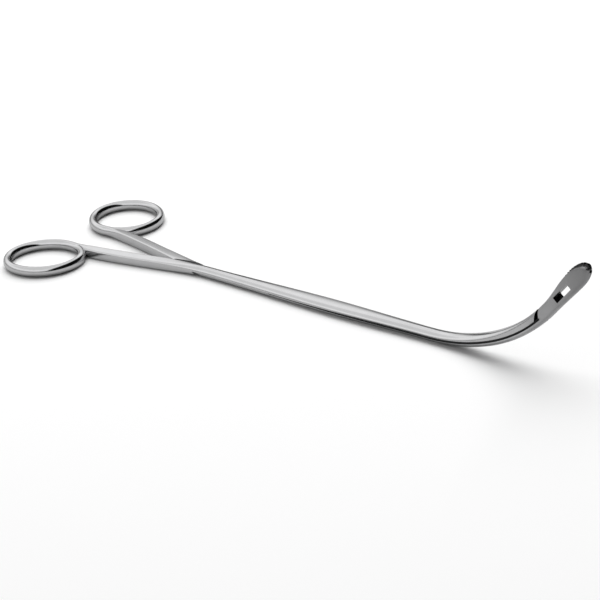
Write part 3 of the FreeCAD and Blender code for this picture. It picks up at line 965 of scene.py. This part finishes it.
# Dull steel is rough, and its colour is painted darker as the shade where the layers meet.
dull_shade_steel = steel("dull_shade_steel", 0.25, 0.35)
# Painted shade: this near-black steel stands for the shade in gaps, on mating faces and in hollows.
gap_shade_steel = steel("painted_gap_shade_steel", 0.03, 0.5)
# Painted shade: the teeth are painted near black, as the shade between them.
tooth_shade_steel = steel("tooth_shade_steel", 0.09, 0.4)
screw_steel = steel("screw_steel", 0.62, 0.22)
print("five steels, satin from", SATIN_START, "m ahead of the joint")


# %% [markdown]
# ## Two forged halves
# Now each half is skinned from its sections, and its rooms are cut from it in one go. Each cut face keeps the
# metal of the solid that cut it. Faces that meet at more than 32 degrees get a sharp edge, and the rest
# shade smoothly. The upper half holds the far jaw, the lower half the near jaw and the screw's seat.

# %% Cut, turn and hand over a piece
SHARP_FROM = math.radians(32)
LATHE_STEPS = 72


def cut(piece, *solids):
    """Takes solids away from a piece. Faces of a solid without a metal get the near-black steel, as painted
    shade in the gaps.
    """
    for solid in solids:
        if not solid.data.materials:
            solid.data.materials.append(gap_shade_steel)
        modifier = piece.modifiers.new("cut", "BOOLEAN")
        modifier.operation = "DIFFERENCE"
        modifier.solver = "EXACT"
        modifier.use_self = solid == solids[0]
        modifier.material_mode = "TRANSFER"
        modifier.object = solid
    bake(piece)
    for solid in solids:
        bpy.data.objects.remove(solid)
    piece.data.shade_smooth()
    piece.data.set_sharp_from_angle(angle=SHARP_FROM)


def lathe(name, profile):
    """Round piece about the pivot axis, from pairs of height and radius."""
    turns = [2 * math.pi * step / LATHE_STEPS for step in range(LATHE_STEPS)]
    return skin(name, [
        [Vector((radius * math.cos(turn), radius * math.sin(turn), z)) for turn in turns]
        for z, radius in profile
    ])


def finish(piece, body, node):
    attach(piece, body)
    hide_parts(node)
    print(piece.name, len(piece.data.polygons), "faces,", len(piece.data.materials), "finishes")


# %% Forge the halves
FAR_RIM_DEPTH, NEAR_RIM_DEPTH = 0.06, 0.75
HEAD_RADIUS, SCREW_RADIUS, SCREW_GAP = 2.0, 1.2, 0.04
HEAD_SEAT, SCREW_SEAT = HEAD_RADIUS + SCREW_GAP, SCREW_RADIUS + SCREW_GAP
SEAT_PROFILE = [(-1.0, HEAD_SEAT), (0.12, HEAD_SEAT), (0.9, SCREW_SEAT), (CLEAR, SCREW_SEAT)]

for body, side in (("upper", -1), ("lower", 1)):
    piece = skin(f"forged_{body}_half", bar_sections(side))
    piece.data.materials.append(polished_steel)
    rooms = [
        crossing_room(-side, side), layer_room(side), plain_room(side, -side),
        toothed_room(side, tooth_shade_steel), window_room(gap_shade_steel, polished_steel),
        lap_groove(1, -side), lap_groove(-1, -side),
    ]
    if body == "upper":
        # The far rim and its notches get near-black steel as painted shade.
        rooms += [rim_strip(side, FAR_RIM_DEPTH, gap_shade_steel), rim_notches(gap_shade_steel)]
    else:
        rooms.append(rim_strip(side, NEAR_RIM_DEPTH, polished_steel))
        rooms.append(lathe("screw_room", SEAT_PROFILE))
    # The crossing's and the layers' cut faces get the dull steel, darkened as painted shade.
    for room_piece in rooms[:2]:
        room_piece.data.materials.append(dull_shade_steel)
    cut(piece, *rooms)
    finish(piece, body, f"{body}_half")

# %% [markdown]
# ## Joint screw
# The lower half turns on one countersunk screw that is held fast in the upper half. Its head lies in the
# underside, a tenth of a millimetre back, and has a straight slot. It is turned from a profile, as on a
# lathe, and the slot is cut as the halves were.

# %% Turn the joint screw
HEAD_PROFILE = [(0.1, 1.9), (0.13, 1.97), (0.18, HEAD_RADIUS), (0.8, SCREW_RADIUS)]
SCREW_END = SHAFT_HEIGHT - 0.06
SLOT_HALF, SLOT_BOTTOM, SLOT_TOP = 0.25, -1.0, 0.43
screw = lathe("slotted_joint_screw", [*HEAD_PROFILE, (SCREW_END, SCREW_RADIUS)])
screw.data.materials.append(screw_steel)
slot = side_prism("screw_slot", [
    Vector((-SLOT_HALF, 0, SLOT_BOTTOM)), Vector((SLOT_HALF, 0, SLOT_BOTTOM)),
    Vector((SLOT_HALF, 0, SLOT_TOP)), Vector((-SLOT_HALF, 0, SLOT_TOP)),
])
slot.data.materials.append(screw_steel)
cut(screw, slot)
finish(screw, "upper", "joint_screw")
